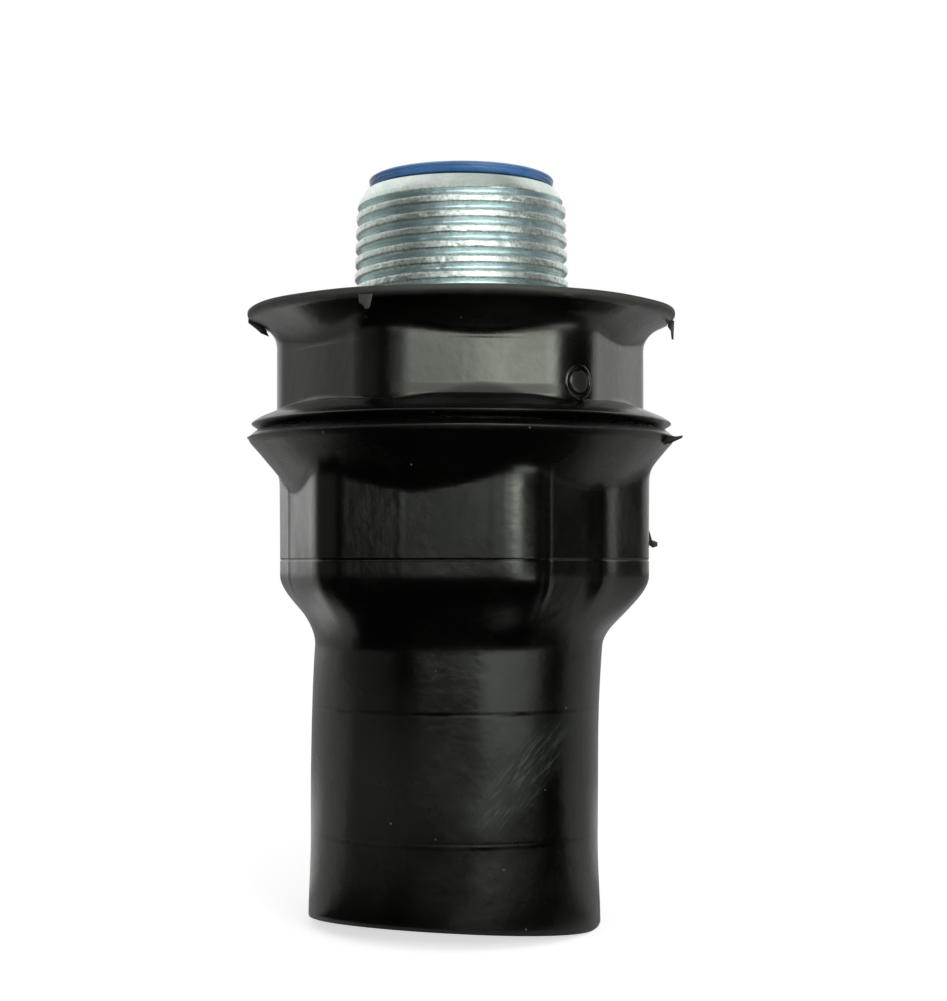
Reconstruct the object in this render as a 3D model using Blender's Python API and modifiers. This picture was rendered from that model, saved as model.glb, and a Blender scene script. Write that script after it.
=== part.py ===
"""Straight liquidtight conduit connector, 3/4 inch trade size, steel in PVC jackets.

The part stands on the end of its sleeve. The origin is the middle of that end, +Z runs up
the connector's axis to the threaded hub, and the front faces -Y. All lengths are in metres.
"""

import bmesh
import bpy
from math import atan2, ceil, cos, radians, sin, sqrt, tan, tau
from mathutils import Vector

OBJECT_NAME = "liquidtight_conduit_connector"
MM = 0.001

# How finely round shapes are cut into flat facets.
TURN_STEPS = 48
FLAT_STEPS = 5
CORNER_STEPS = 3
FLARE_STEPS = 5
SHOULDER_STEPS = 6
SLEEVE_STEPS = 3
SHARP_ANGLE = radians(35)
MERGE_WITHIN = 0.001 * MM

# Clearances between pieces.
FIT_GAP = 0.3 * MM
THREAD_GAP = 0.3 * MM
JACKET_GAP = 0.3 * MM
CONDUIT_GAP = 0.15 * MM

# The flexible conduit that the connector takes.
CONDUIT_RADIUS = 13.35 * MM
CONDUIT_WALL = 2.9 * MM

# Heights of the gland nut's jacket, from the sleeve's end upwards.
SLEEVE_LENGTH = 34.5 * MM
SHOULDER_LENGTH = 8.7 * MM
NUT_FLATS_LENGTH = 10.0 * MM
NUT_FLARE_LENGTH = 6.3 * MM
NUT_RIM = 1.4 * MM

# Heights of the body's jacket and of the hub above it.
LOW_RIM = 1.4 * MM
LOW_FLARE_LENGTH = 1.8 * MM
WAIST_LENGTH = 6.6 * MM
TOP_FLARE_LENGTH = 3.5 * MM
TOP_RIM = 1.0 * MM
HUB_LENGTH = 15.55 * MM

# Jacket walls, lips and flares.
JACKET_WALL = 1.25 * MM
TOP_PLATE = 1.0 * MM
NUT_LIP_REACH = 3.06 * MM
LOW_LIP_REACH = 3.25 * MM
TOP_LIP_REACH = 3.65 * MM
RIM_ROUND = 0.45 * MM
TOP_RIM_ROUND = 0.2 * MM
RIM_SLOPE = 1.0 * MM
CREASE_DROP = 0.9 * MM
CREASE_REACH = 2.2 * MM
FLARE_FILLET = 1.2 * MM
NUT_FLARE_CURVE = 1.2
LOW_FLARE_CURVE = 1.0
TOP_FLARE_CURVE = 2.2
SLEEVE_GAP = 1.85 * MM
SLEEVE_WALL = 2.7 * MM
SLEEVE_SWELL = 0.3 * MM
SLEEVE_SWELL_LENGTH = 11.0 * MM
SLEEVE_LEAN = -0.85 * MM
LEAN_POWER = 5
SLEEVE_EDGE = 0.4 * MM

# Directions that one flat of each hexagon faces, about the axis.
BODY_TURN = radians(-84.3)
NUT_TURN = radians(-103.0)

# Steel body.
STEEL_CORNER = 4.0 * MM
HEX_STEP = 2.25 * MM
BARREL_WALL = 2.4 * MM
BARREL_LENGTH = 11.5 * MM
BARREL_DEPTH = 16.0 * MM
BARREL_CHAMFER = 0.4 * MM
MOUTH_BEVEL = 1.5 * MM
HUB_RADIUS = 13.5 * MM
HUB_WALL = 3.1 * MM
HUB_NOSE_LENGTH = 2.9 * MM
HUB_NOSE_DROP = 1.25 * MM

# Pipe thread of the hub. The widths of its root and crest are shares of the pitch.
PIPE_PITCH = 25.4 / 14 * MM
PIPE_TAPER = 1 / 32
THREAD_DEPTH = 0.95 * MM
ROOT_WIDTH = 0.12
CREST_WIDTH = 0.28
FOOT_RUN_OUT = 1.6 * MM
TOP_RUN_OUT = 2.4 * MM

# Steel gland nut.
NUT_WALL = 2.55 * MM
NUT_CHAMFER = 0.6 * MM
COLLAR_RISE = 4.0 * MM
COLLAR_WALL = 2.65 * MM
COLLAR_CHAMFER = 0.4 * MM
MOUTH_GAP = 0.4 * MM

# Insulated throat.
THROAT_WALL = 1.0 * MM
THROAT_LENGTH = 12.0 * MM
THROAT_FLANGE = 1.4 * MM
THROAT_REACH = 1.1 * MM
THROAT_INSET = 0.2 * MM
THROAT_BELL_STEPS = 4

# Grounding ferrule.
SKIRT_WALL = 0.6 * MM
FERRULE_FLANGE = 1.2 * MM
FERRULE_WALL = 1.2 * MM
FERRULE_LENGTH = 17.0 * MM
FERRULE_RIDGES = 4
RIDGE_HEIGHT = 0.4 * MM
RIDGE_PITCH = 2.4 * MM

# Sealing ring.
RING_INSET = 0.4 * MM
RING_NOSE = 0.3 * MM
RING_BAND = 1.5 * MM

# Radii, from the conduit outwards.
RING_BORE = CONDUIT_RADIUS + CONDUIT_GAP
SKIRT_RADIUS = RING_BORE + SKIRT_WALL
BARREL_BORE = SKIRT_RADIUS + FIT_GAP
BARREL_RADIUS = BARREL_BORE + BARREL_WALL
RING_RADIUS = BARREL_RADIUS - RING_INSET
NUT_BORE = BARREL_RADIUS + THREAD_GAP
NUT_APOTHEM = NUT_BORE + NUT_WALL
BODY_APOTHEM = BARREL_RADIUS + HEX_STEP
NUT_MOUTH = CONDUIT_RADIUS + MOUTH_GAP
COLLAR_RADIUS = NUT_MOUTH + COLLAR_WALL
SLEEVE_BORE = CONDUIT_RADIUS + SLEEVE_GAP
SLEEVE_RADIUS = SLEEVE_BORE + SLEEVE_WALL
FERRULE_RADIUS = CONDUIT_RADIUS - CONDUIT_WALL - CONDUIT_GAP
FERRULE_BORE = FERRULE_RADIUS - FERRULE_WALL
HUB_BORE = HUB_RADIUS - HUB_WALL
THROAT_TUBE = HUB_BORE - FIT_GAP
THROAT_BORE = THROAT_TUBE - THROAT_WALL
COAT = FIT_GAP + JACKET_WALL

# Heights, from the sleeve's end upwards.
NUT_FOOT = SLEEVE_LENGTH + COLLAR_RISE
SHOULDER_TOP = SLEEVE_LENGTH + SHOULDER_LENGTH
NUT_FLARE_START = SHOULDER_TOP + NUT_FLATS_LENGTH
NUT_FACE = NUT_FLARE_START + NUT_FLARE_LENGTH + NUT_RIM
NUT_TOP = NUT_FACE - FIT_GAP
BODY_FACE = NUT_FACE + JACKET_GAP
WAIST_START = BODY_FACE + LOW_RIM + LOW_FLARE_LENGTH
WAIST_END = WAIST_START + WAIST_LENGTH
BODY_TOP = WAIST_END + TOP_FLARE_LENGTH + TOP_RIM
HUB_TOP = BODY_TOP + HUB_LENGTH
HEX_BOTTOM = BODY_FACE + FIT_GAP
HEX_TOP = BODY_TOP - TOP_PLATE - FIT_GAP
BARREL_END = HEX_BOTTOM - BARREL_LENGTH
BODY_SEAT = BARREL_END + BARREL_DEPTH
CREASE = WAIST_START - CREASE_DROP
HUB_TIP_RADIUS = HUB_RADIUS - (HUB_TOP - HEX_TOP) * PIPE_TAPER - HUB_NOSE_DROP

# The sealing ring's 45 degree bevels lie one clearance from the barrel's mouth and the nut's seat.
BEVEL_GAP = FIT_GAP * sqrt(2)
RING_NOSE_RADIUS = RING_BORE + RING_NOSE
RING_BEVEL = RING_RADIUS - RING_NOSE_RADIUS
RING_TOP = BARREL_END + MOUTH_BEVEL + BARREL_BORE - RING_NOSE_RADIUS - BEVEL_GAP
RING_BOTTOM = RING_TOP - 2 * RING_BEVEL - RING_BAND
NUT_SEAT = RING_BOTTOM - BEVEL_GAP - RING_NOSE_RADIUS
SKIRT_END = RING_TOP + FIT_GAP
FERRULE_TOP = BODY_SEAT - FIT_GAP


def clear_scene():
    """Remove every object that the scene holds."""
    for scene_object in list(bpy.data.objects):
        bpy.data.objects.remove(scene_object, do_unlink=True)


def add_collection(name):
    """Make a collection in the scene."""
    collection = bpy.data.collections.new(name)
    bpy.context.scene.collection.children.link(collection)
    return collection


def add_material(name, color, roughness, metallic=0.0):
    """Make a Principled material with the given finish."""
    material = bpy.data.materials.new(name)
    material.use_nodes = True
    shader = material.node_tree.nodes["Principled BSDF"]
    shader.inputs["Base Color"].default_value = (*color, 1.0)
    shader.inputs["Roughness"].default_value = roughness
    shader.inputs["Metallic"].default_value = metallic
    return material


def add_object(name, mesh, material, collection):
    """Put a mesh into the scene as one named object."""
    mesh.materials.append(material)
    mesh_object = bpy.data.objects.new(name, mesh)
    collection.objects.link(mesh_object)
    return mesh_object


def turned(name, outline, material, collection):
    """Turn a closed outline of (radius, height) points about the axis.

    The outline runs down its outer side and back up its inner side.
    """
    mesh = bpy.data.meshes.new(name)
    points = [(radius, 0.0, height) for radius, height in outline]
    edges = [(index, (index + 1) % len(points)) for index in range(len(points))]
    mesh.from_pydata(points, edges, [])
    turned_object = add_object(name, mesh, material, collection)
    screw = turned_object.modifiers.new("Turn about the axis", "SCREW")
    screw.steps = TURN_STEPS
    screw.render_steps = TURN_STEPS
    screw.merge_threshold = MERGE_WITHIN
    screw.use_smooth_shade = True
    return turned_object


def hexagon(apothem, corner, turn):
    """Points of a hexagon with rounded corners, anticlockwise from the start of one flat and back to it."""
    half_flat = (apothem - corner) * tan(radians(30))
    points = []
    for side in range(6):
        direction = turn + side * radians(60)
        normal = Vector((cos(direction), sin(direction)))
        along = Vector((-normal.y, normal.x))
        for step in range(FLAT_STEPS):
            points.append(normal * apothem + along * half_flat * (2 * step / FLAT_STEPS - 1))
        centre = normal * (apothem - corner) + along * half_flat
        for step in range(CORNER_STEPS):
            bend = direction + radians(60) * step / CORNER_STEPS
            points.append(centre + Vector((cos(bend), sin(bend))) * corner)
    return points + points[:1]


def corner_reach(apothem, corner):
    """Distance from the axis to the tip of a rounded hexagon corner."""
    return (apothem - corner) / cos(radians(30)) + corner


def soft_max(first, second, fillet):
    """The larger of two lengths, with a fillet where they meet."""
    return (first + second + sqrt((first - second) ** 2 + fillet**2)) / 2


def smooth_step(share):
    """Rise from 0 to 1 with level ends."""
    share = min(max(share, 0.0), 1.0)
    return share * share * (3 - 2 * share)


def hex_section(height, points):
    """One section that keeps the hexagon's outline."""
    return [Vector((point.x, point.y, height)) for point in points]


def round_section(height, points, radius, shift=0.0):
    """One round section, with its points in the same directions as the hexagon's."""
    return [
        Vector((point.x / point.length * radius + shift, point.y / point.length * radius, height))
        for point in points
    ]


def blended_section(height, points, radius, share):
    """One section between a circle, at share 0, and the hexagon, at share 1."""
    circle = round_section(height, points, radius)
    return [low.lerp(high, share) for low, high in zip(circle, hex_section(height, points))]


def flare_sections(points, apothem, start, end, end_radius, curve):
    """Sections from the end of the flats to the lip, where the hexagon swells to a circle."""
    sections = []
    for step in range(FLARE_STEPS + 1):
        share = step / FLARE_STEPS
        swell = apothem + (end_radius - apothem) * share**curve
        height = start + (end - start) * share
        sections.append(
            [
                Vector((point.x, point.y, 0))
                * (soft_max(point.length, swell, FLARE_FILLET * share) / point.length)
                + Vector((0, 0, height))
                for point in points
            ]
        )
    return sections


def lofted(name, sections, material, collection):
    """Join sections of equal point count into one closed ring-shaped solid.

    The sections run up the outside, over the top and back down the inside, and the last
    joins the first again. A thread's rows end one pitch above their start, so every section
    carries its own last point, and points that meet are merged.
    """
    shape = bmesh.new()
    rings = [[shape.verts.new(point) for point in section] for section in sections]
    for ring, following in zip(rings, rings[1:] + rings[:1]):
        for index in range(len(ring) - 1):
            after = index + 1
            shape.faces.new((ring[index], ring[after], following[after], following[index]))
    bmesh.ops.remove_doubles(shape, verts=shape.verts, dist=MERGE_WITHIN)
    mesh = bpy.data.meshes.new(name)
    shape.to_mesh(mesh)
    shape.free()
    mesh.shade_smooth()
    mesh.set_sharp_from_angle(angle=SHARP_ANGLE)
    return add_object(name, mesh, material, collection)


def hub_radius(height, cut):
    """Radius of the hub at a height, where cut is 0 on the thread's crest and 1 in its root."""
    above = height - HEX_TOP
    below = HUB_TOP - height
    run_out = smooth_step(above / FOOT_RUN_OUT) * smooth_step(below / TOP_RUN_OUT)
    nose = HUB_NOSE_DROP * (1 - sin(radians(90) * min(below / HUB_NOSE_LENGTH, 1.0)))
    return HUB_RADIUS - above * PIPE_TAPER - max(THREAD_DEPTH * cut * run_out, nose)


def thread_row(points, start, cut):
    """One row of the hub's thread, which climbs one pitch on its way round.

    Its start is counted in turns, from one pitch below the hub's foot. Where the row would
    run past the hub's foot or tip, it lies on that end's edge instead.
    """
    first = atan2(points[0].y, points[0].x)
    row = []
    for index, point in enumerate(points):
        share = 1.0 if index == len(points) - 1 else (atan2(point.y, point.x) - first) % tau / tau
        height = HEX_TOP + (start - 1 + share) * PIPE_PITCH
        height = min(max(height, HEX_TOP), HUB_TOP)
        flat = Vector((point.x, point.y, 0)).normalized() * hub_radius(height, cut)
        row.append(flat + Vector((0, 0, height)))
    return row


def hub_thread(points):
    """Rows of the hub's skin from its foot to its tip: two for each root and two for each crest."""
    marks = (
        (-ROOT_WIDTH / 2, 1),
        (ROOT_WIDTH / 2, 1),
        ((1 - CREST_WIDTH) / 2, 0),
        ((1 + CREST_WIDTH) / 2, 0),
    )
    turns = ceil((HUB_TOP - HEX_TOP) / PIPE_PITCH) + 1
    return [thread_row(points, turn + place, cut) for turn in range(turns) for place, cut in marks]


def add_connector_body(material, collection):
    """Steel body: threaded hub, hexagon and the barrel that the gland nut screws onto."""
    points = hexagon(BODY_APOTHEM, STEEL_CORNER, BODY_TURN)
    sections = [
        round_section(BARREL_END, points, BARREL_RADIUS - BARREL_CHAMFER),
        round_section(BARREL_END + BARREL_CHAMFER, points, BARREL_RADIUS),
        round_section(HEX_BOTTOM, points, BARREL_RADIUS),
        hex_section(HEX_BOTTOM, points),
        hex_section(HEX_TOP, points),
        *hub_thread(points),
        round_section(HUB_TOP, points, HUB_BORE),
        round_section(BODY_SEAT, points, HUB_BORE),
        round_section(BODY_SEAT, points, BARREL_BORE),
        round_section(BARREL_END + MOUTH_BEVEL, points, BARREL_BORE),
        round_section(BARREL_END, points, BARREL_BORE + MOUTH_BEVEL),
    ]
    return lofted("connector_body", sections, material, collection)


def add_body_jacket(material, collection):
    """PVC jacket of the body: a hexagon between two round lips, open below, with a plate on top."""
    apothem = BODY_APOTHEM + COAT
    points = hexagon(apothem, STEEL_CORNER + COAT, BODY_TURN)
    cavity = hexagon(BODY_APOTHEM + FIT_GAP, STEEL_CORNER + FIT_GAP, BODY_TURN)
    reach = corner_reach(apothem, STEEL_CORNER + COAT)
    low_lip = reach + LOW_LIP_REACH
    top_lip = reach + TOP_LIP_REACH
    hub_hole = HUB_RADIUS + FIT_GAP
    crease = apothem + CREASE_REACH
    low_flare = flare_sections(
        points, crease, CREASE, BODY_FACE + LOW_RIM, low_lip - RIM_ROUND, LOW_FLARE_CURVE
    )
    top_flare = flare_sections(
        points, apothem, WAIST_END, BODY_TOP - TOP_RIM, top_lip - TOP_RIM_ROUND, TOP_FLARE_CURVE
    )
    sections = [
        round_section(BODY_FACE, points, low_lip - RIM_SLOPE),
        round_section(BODY_FACE + LOW_RIM / 2, points, low_lip),
        *reversed(low_flare),
        hex_section(WAIST_START, points),
        *top_flare,
        round_section(BODY_TOP - TOP_RIM + TOP_RIM_ROUND, points, top_lip),
        round_section(BODY_TOP - TOP_RIM_ROUND, points, top_lip),
        round_section(BODY_TOP, points, top_lip - TOP_RIM_ROUND),
        round_section(BODY_TOP, points, hub_hole),
        round_section(BODY_TOP - TOP_PLATE, points, hub_hole),
        hex_section(BODY_TOP - TOP_PLATE, cavity),
        hex_section(BODY_FACE, cavity),
    ]
    return lofted("body_jacket", sections, material, collection)


def add_insulated_throat(material, collection):
    """Nylon liner pressed into the hub, with a rounded flange over the hub's end."""
    underside = HUB_TOP + FIT_GAP
    rim = HUB_TIP_RADIUS - THROAT_INSET
    half = THROAT_FLANGE / 2
    outline = [
        (rim - half * (1 - cos(radians(turn))), underside + half + half * sin(radians(turn)))
        for turn in (90, 60, 30, 0, -30, -60, -90)
    ]
    outline += [
        (THROAT_TUBE, underside),
        (THROAT_TUBE, HUB_TOP - THROAT_LENGTH),
        (THROAT_BORE, HUB_TOP - THROAT_LENGTH),
    ]
    for step in range(THROAT_BELL_STEPS):
        turn = radians(90) * step / THROAT_BELL_STEPS
        radius = THROAT_BORE + THROAT_REACH * (1 - cos(turn))
        outline.append((radius, underside + THROAT_FLANGE * sin(turn)))
    return turned("insulated_throat", outline, material, collection)


def add_ferrule(material, collection):
    """Steel ferrule: a flange with a skirt round the conduit's end and a ridged tube inside it."""
    below_flange = FERRULE_TOP - FERRULE_FLANGE
    root = FERRULE_RADIUS - RIDGE_HEIGHT
    tube_end = FERRULE_TOP - FERRULE_LENGTH
    outline = [
        (SKIRT_RADIUS, FERRULE_TOP),
        (SKIRT_RADIUS, SKIRT_END),
        (RING_BORE, SKIRT_END),
        (RING_BORE, below_flange),
        (root, below_flange),
    ]
    for ridge in reversed(range(FERRULE_RIDGES)):
        foot = tube_end + ridge * RIDGE_PITCH
        outline.append((root, foot + RIDGE_PITCH))
        outline.append((FERRULE_RADIUS, foot + RIDGE_PITCH - RIDGE_HEIGHT))
    outline += [(root, tube_end), (FERRULE_BORE, tube_end), (FERRULE_BORE, FERRULE_TOP)]
    return turned("ferrule", outline, material, collection)


def add_sealing_ring(material, collection):
    """Nylon ring with a bevel at each end, squeezed onto the conduit by the gland nut."""
    outline = [
        (RING_NOSE_RADIUS, RING_TOP),
        (RING_RADIUS, RING_TOP - RING_BEVEL),
        (RING_RADIUS, RING_BOTTOM + RING_BEVEL),
        (RING_NOSE_RADIUS, RING_BOTTOM),
        (RING_BORE, RING_BOTTOM),
        (RING_BORE, RING_TOP),
    ]
    return turned("sealing_ring", outline, material, collection)


def nut_shoulder(clearance):
    """Sections of the steel nut's outside, from its collar up to its hexagon."""
    points = hexagon(NUT_APOTHEM + clearance, STEEL_CORNER + clearance, NUT_TURN)
    collar = COLLAR_RADIUS + clearance
    start = NUT_FOOT + COLLAR_CHAMFER
    sections = []
    for step in range(SHOULDER_STEPS + 1):
        share = step / SHOULDER_STEPS
        height = start + (SHOULDER_TOP - start) * share
        sections.append(blended_section(height, points, collar, smooth_step(share)))
    return sections


def add_gland_nut(material, collection):
    """Steel gland nut: a hexagon that narrows to a collar, with a bevelled seat inside."""
    points = hexagon(NUT_APOTHEM, STEEL_CORNER, NUT_TURN)
    seat_top = NUT_SEAT + NUT_BORE
    seat_foot = NUT_SEAT + NUT_MOUTH
    sections = [
        round_section(NUT_FOOT, points, COLLAR_RADIUS - COLLAR_CHAMFER),
        *nut_shoulder(0.0),
        hex_section(NUT_TOP, points),
        round_section(NUT_TOP, points, NUT_BORE + NUT_CHAMFER),
        round_section(NUT_TOP - NUT_CHAMFER, points, NUT_BORE),
        round_section(seat_top, points, NUT_BORE),
        round_section(seat_foot, points, NUT_MOUTH),
        round_section(NUT_FOOT, points, NUT_MOUTH),
    ]
    return lofted("gland_nut", sections, material, collection)


def lean_at(height):
    """Sideways shift of the sleeve, which leans a little below the steel nut."""
    share = min(height / (NUT_FOOT - FIT_GAP), 1.0)
    return SLEEVE_LEAN * (1 - share**LEAN_POWER)


def sleeve_skin(points):
    """Sections of the sleeve's outside, from its slightly swollen end up to the shoulder."""
    end_radius = SLEEVE_RADIUS + SLEEVE_SWELL
    sections = [
        round_section(0.0, points, end_radius - SLEEVE_EDGE, lean_at(0.0)),
        round_section(SLEEVE_EDGE, points, end_radius, lean_at(SLEEVE_EDGE)),
    ]
    for step in range(SLEEVE_STEPS):
        height = SLEEVE_SWELL_LENGTH + (SLEEVE_LENGTH - SLEEVE_SWELL_LENGTH) * step / SLEEVE_STEPS
        sections.append(round_section(height, points, SLEEVE_RADIUS, lean_at(height)))
    return sections


def shoulder_skin(points):
    """Sections of the jacket's shoulder, from the round sleeve up to the hexagon."""
    sections = []
    for step in range(SHOULDER_STEPS + 1):
        share = step / SHOULDER_STEPS
        height = SLEEVE_LENGTH + SHOULDER_LENGTH * share
        section = blended_section(height, points, SLEEVE_RADIUS, smooth_step(share))
        shift = Vector((lean_at(height), 0, 0))
        sections.append([point + shift for point in section])
    return sections


def sleeve_bore(points):
    """Sections of the sleeve's bore, from the ledge under the steel nut down to the open end."""
    sections = []
    for step in range(SLEEVE_STEPS + 1):
        height = (NUT_FOOT - FIT_GAP) * (1 - step / SLEEVE_STEPS)
        sections.append(round_section(height, points, SLEEVE_BORE, lean_at(height)))
    return sections


def add_nut_jacket(material, collection):
    """PVC jacket of the gland nut: lip, hexagon, shoulder and the long sleeve over the conduit."""
    apothem = NUT_APOTHEM + COAT
    points = hexagon(apothem, STEEL_CORNER + COAT, NUT_TURN)
    cavity = hexagon(NUT_APOTHEM + FIT_GAP, STEEL_CORNER + FIT_GAP, NUT_TURN)
    lip = corner_reach(apothem, STEEL_CORNER + COAT) + NUT_LIP_REACH
    flare = flare_sections(
        points, apothem, NUT_FLARE_START, NUT_FACE - NUT_RIM, lip - RIM_ROUND, NUT_FLARE_CURVE
    )
    sections = [
        *sleeve_skin(points),
        *shoulder_skin(points),
        *flare,
        round_section(NUT_FACE - NUT_RIM / 2, points, lip),
        round_section(NUT_FACE, points, lip - RIM_SLOPE),
        hex_section(NUT_FACE, cavity),
        *reversed(nut_shoulder(FIT_GAP)),
        round_section(NUT_FOOT - FIT_GAP, points, COLLAR_RADIUS + FIT_GAP),
        *sleeve_bore(points),
    ]
    return lofted("nut_jacket", sections, material, collection)


def add_axis(name, height, collection):
    """Empty on the connector's axis, for pieces that turn or slide together."""
    axis = bpy.data.objects.new(name, None)
    axis.location = (0, 0, height)
    collection.objects.link(axis)
    return axis


def parent_to(axis, pieces):
    """Parent pieces to an empty without moving them."""
    for piece in pieces:
        piece.parent = axis
        piece.location = -axis.location


def main():
    clear_scene()
    parts = add_collection(OBJECT_NAME)
    zinc = add_material("zinc_plate", (0.60, 0.63, 0.61), 0.28, 1.0)
    pvc = add_material("black_pvc", (0.018, 0.018, 0.015), 0.42)
    throat_nylon = add_material("blue_nylon", (0.026, 0.088, 0.205), 0.38)
    ring_nylon = add_material("natural_nylon", (0.72, 0.70, 0.62), 0.45)
    ferrule_steel = add_material("ferrule_steel", (0.56, 0.57, 0.58), 0.35, 1.0)

    add_connector_body(zinc, parts)
    add_body_jacket(pvc, parts)
    add_insulated_throat(throat_nylon, parts)
    ferrule = add_ferrule(ferrule_steel, parts)
    ring = add_sealing_ring(ring_nylon, parts)
    nut = add_gland_nut(zinc, parts)
    jacket = add_nut_jacket(pvc, parts)

    parent_to(add_axis("seal_stack_axis", RING_BOTTOM, parts), [ferrule, ring])
    parent_to(add_axis("gland_nut_axis", NUT_TOP, parts), [nut, jacket])


main()
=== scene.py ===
# %% [markdown]
# # A liquidtight conduit connector
#
# The real part joins a flexible conduit to a metal box. Its steel is zinc plated, and a black PVC
# coat covers the body and the gland nut. A blue nylon throat lines the threaded hub.
#
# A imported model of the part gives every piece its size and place. This lesson loads that model as a
# frame, and then makes each visible surface again in fine detail around it.

# %% Load the frame
import bmesh
import bpy
import numpy as np
from math import ceil, cos, radians, sin, tan
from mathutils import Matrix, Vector


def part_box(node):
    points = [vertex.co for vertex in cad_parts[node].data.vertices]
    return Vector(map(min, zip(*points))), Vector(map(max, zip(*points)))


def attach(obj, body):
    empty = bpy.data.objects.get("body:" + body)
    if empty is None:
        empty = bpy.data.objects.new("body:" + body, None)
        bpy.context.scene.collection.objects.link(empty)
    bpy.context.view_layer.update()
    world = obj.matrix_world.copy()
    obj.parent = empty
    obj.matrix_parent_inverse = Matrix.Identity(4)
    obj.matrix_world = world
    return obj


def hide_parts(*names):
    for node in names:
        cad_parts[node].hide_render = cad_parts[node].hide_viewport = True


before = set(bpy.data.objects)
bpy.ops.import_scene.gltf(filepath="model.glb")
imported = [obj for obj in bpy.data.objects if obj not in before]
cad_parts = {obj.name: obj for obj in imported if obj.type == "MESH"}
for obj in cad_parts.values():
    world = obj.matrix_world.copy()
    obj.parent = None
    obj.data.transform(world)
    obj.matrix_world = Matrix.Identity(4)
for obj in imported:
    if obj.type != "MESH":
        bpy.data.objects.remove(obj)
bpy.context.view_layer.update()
MM = 0.001
print("nodes:", ", ".join(sorted(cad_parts)))

# %% [markdown]
# ## Sizes
#
# Heights and outer radii are read from the frame, so a finished piece can't drift from it. The walls
# and curves that a box can't tell are written once, in millimetres. Directions are measured in
# degrees from the front, positive to the right, as a maker looks at the part on a bench.

# %% Sizes
def foot_of(node):
    """Lowest height of a node."""
    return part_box(node)[0].z


def top_of(node):
    """Highest height of a node."""
    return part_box(node)[1].z


def reach_of(node):
    """Radius of the widest circle about the axis that stays inside a node's box."""
    low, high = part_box(node)
    return min(high.x, high.y, -low.x, -low.y)


NUT_FACE = top_of("nut_jacket")
BODY_FACE = foot_of("body_jacket")
BODY_TOP = top_of("body_jacket")
HUB_TOP = top_of("connector_body")
BARREL_END = foot_of("connector_body")
NUT_FOOT = foot_of("gland_nut")
NUT_TOP = top_of("gland_nut")
NUT_LIP = reach_of("nut_jacket")
BODY_LIP = reach_of("body_jacket")

GAP = 0.3 * MM
COAT = 1.55 * MM
STEEL_CORNER = 4.0 * MM
BODY_STEEL = 19.05 * MM
BODY_COAT_EXTRA = 0.35 * MM
BODY_FLAT = BODY_STEEL + COAT + BODY_COAT_EXTRA
BODY_CORNER = 7.5 * MM
NUT_STEEL = 19.65 * MM
NUT_FLAT = NUT_STEEL + COAT
NUT_CORNER = STEEL_CORNER + COAT
BODY_TURN = 5.7
NUT_TURN = -13.0
print("lips reach", round(NUT_LIP / MM, 2), "and", round(BODY_LIP / MM, 2), "mm")

# %% [markdown]
# ## Camera
#
# The photo was taken level, a little above the middle of the part and close to it. A level camera
# keeps the upright edges upright, and a small lens shift puts the part where the photo has it.

# %% Camera
CAMERA_DISTANCE = 231.25 * MM
EYE_HEIGHT = 45.1 * MM
LENS = 66.5
SHIFT = (0.0122, 0.0594)

scene = bpy.context.scene
scene.view_settings.view_transform = "Standard"
camera = bpy.data.objects.new("camera", bpy.data.cameras.new("camera"))
camera.data.lens = LENS
camera.data.shift_x, camera.data.shift_y = SHIFT
camera.data.clip_start = 10 * MM
camera.location = (0, -CAMERA_DISTANCE, EYE_HEIGHT)
camera.rotation_euler = (radians(90), 0, 0)
scene.collection.objects.link(camera)
scene.camera = camera
print("camera stands", CAMERA_DISTANCE / MM, "mm in front")

# %% [markdown]
# ## Node helpers
#
# Materials and Geometry Nodes are both trees of nodes. One helper adds a node, sets it up and wires
# it. A node's output is kept as a Wire, which adds and multiplies as a number does, so each recipe
# below reads as a formula. A Wire knows its tree, so a step that starts from one finds its own place.

# %% Node helpers
class Wire:
    """Output of a node, ready to stand in a formula."""

    def __init__(self, socket):
        self.socket = socket
        self.tree = socket.id_data

    def __add__(self, other):
        return calculate("ADD", self, other)

    __radd__ = __add__

    def __sub__(self, other):
        return calculate("SUBTRACT", self, other)

    def __rsub__(self, other):
        return calculate("SUBTRACT", other, self)

    def __mul__(self, other):
        return calculate("MULTIPLY", self, other)

    def __truediv__(self, other):
        return calculate("DIVIDE", self, other)


def fill(node, inputs):
    """Link a wire, or set a value, at each named input of a node."""
    for key, value in inputs.items():
        if isinstance(value, Wire):
            value.tree.links.new(value.socket, node.inputs[key])
        else:
            node.inputs[key].default_value = value


def add_node(tree, kind, inputs=None, **settings):
    """Add a node, set its properties, then fill its inputs."""
    node = tree.nodes.new(kind)
    for name, value in settings.items():
        setattr(node, name, value)
    fill(node, inputs or {})
    return node


def source(tree, kind, output=0, **settings):
    """Wire from a node that needs no other."""
    return Wire(add_node(tree, kind, **settings).outputs[output])


def step(kind, inputs, output=0, **settings):
    """Wire from a node that works on other wires, in their tree."""
    tree = next(value.tree for value in inputs.values() if isinstance(value, Wire))
    return Wire(add_node(tree, kind, inputs, **settings).outputs[output])


def calculate(operation, *values):
    """One arithmetic step."""
    return step("ShaderNodeMath", dict(enumerate(values)), operation=operation)


def remap(value, low, high, new_low=0.0, new_high=1.0, smooth=False):
    """Spread a range of values over another range, evenly or with level ends."""
    inputs = {"Value": value, "From Min": low, "From Max": high, "To Min": new_low, "To Max": new_high}
    return step("ShaderNodeMapRange", inputs, interpolation_type="SMOOTHSTEP" if smooth else "LINEAR")


def blend(share, first, second):
    """Mix two colours."""
    first, second = (value if isinstance(value, Wire) else (*value, 1.0) for value in (first, second))
    return step("ShaderNodeMix", {0: share, 6: first, 7: second}, 2, data_type="RGBA")


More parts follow.
